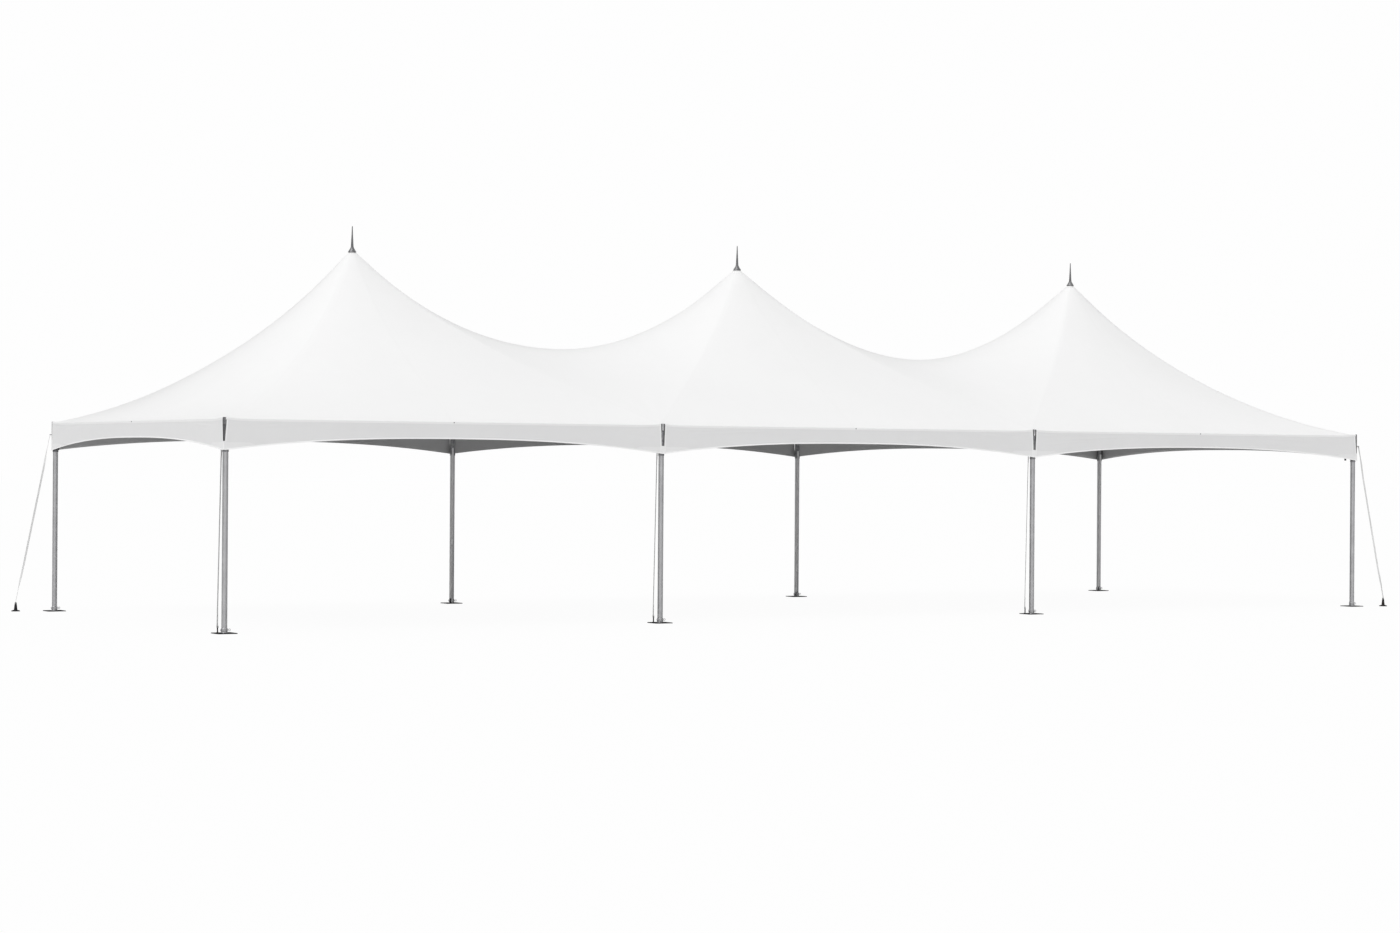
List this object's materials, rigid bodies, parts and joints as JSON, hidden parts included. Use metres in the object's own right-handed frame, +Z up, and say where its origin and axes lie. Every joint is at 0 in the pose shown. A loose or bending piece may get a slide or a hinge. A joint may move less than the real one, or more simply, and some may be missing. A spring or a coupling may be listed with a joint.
{
  "type": "high peak frame tent",
  "caption": "Long open-sided event tent with three peaked vinyl bays on tube legs, arched valances, spiked finials and guy straps.",
  "frame": {"origin": "on the ground under the middle of the tent, the bottom centre of the object's box", "axes": "+X along the row of peaks to the right as seen from the front, +Y from the front to the back, +Z up"},
  "size_m": [19.408, 6.516, 5.2553],
  "materials": {
    "aluminium_tube": "satin mill finish",
    "fitting_steel": "dull galvanised grey",
    "cable_steel": "stranded galvanised wire",
    "plate_steel": "satin dark grey",
    "finial_metal": "satin grey",
    "roof_vinyl": "smooth coated white vinyl",
    "valance_vinyl": "smooth coated white vinyl with a welded hem",
    "webbing": "woven white webbing"
  },
  "bodies": {
    "root": {"base_plate_back_1": "plate_steel", "base_plate_back_2": "plate_steel", "base_plate_back_3": "plate_steel", "base_plate_back_4": "plate_steel", "base_plate_front_1": "plate_steel", "base_plate_front_2": "plate_steel", "base_plate_front_3": "plate_steel", "base_plate_front_4": "plate_steel", "cable_cross_1": "cable_steel", "cable_cross_2": "cable_steel", "cable_cross_3": "cable_steel", "eave_fitting_back_1": "fitting_steel", "eave_fitting_back_2": "fitting_steel", "eave_fitting_back_3": "fitting_steel", "eave_fitting_back_4": "fitting_steel", "eave_fitting_front_1": "fitting_steel", "eave_fitting_front_2": "fitting_steel", "eave_fitting_front_3": "fitting_steel", "eave_fitting_front_4": "fitting_steel", "eave_tube_back_1": "aluminium_tube", "eave_tube_back_2": "aluminium_tube", "eave_tube_back_3": "aluminium_tube", "eave_tube_front_1": "aluminium_tube", "eave_tube_front_2": "aluminium_tube", "eave_tube_front_3": "aluminium_tube", "eave_tube_left": "aluminium_tube", "eave_tube_right": "aluminium_tube", "finial_1": "finial_metal", "finial_2": "finial_metal", "finial_3": "finial_metal", "guy_back_1": "webbing", "guy_back_2": "webbing", "guy_back_3": "webbing", "guy_back_4": "webbing", "guy_front_1": "webbing", "guy_front_2": "webbing", "guy_front_3": "webbing", "guy_front_4": "webbing", "king_pole_1": "aluminium_tube", "king_pole_2": "aluminium_tube", "king_pole_3": "aluminium_tube", "leg_back_1": "aluminium_tube", "leg_back_2": "aluminium_tube", "leg_back_3": "aluminium_tube", "leg_back_4": "aluminium_tube", "leg_front_1": "aluminium_tube", "leg_front_2": "aluminium_tube", "leg_front_3": "aluminium_tube", "leg_front_4": "aluminium_tube", "roof_membrane": "roof_vinyl", "valance_back": "valance_vinyl", "valance_front": "valance_vinyl", "valance_left": "valance_vinyl", "valance_right": "valance_vinyl"}
  },
  "joints": []
}
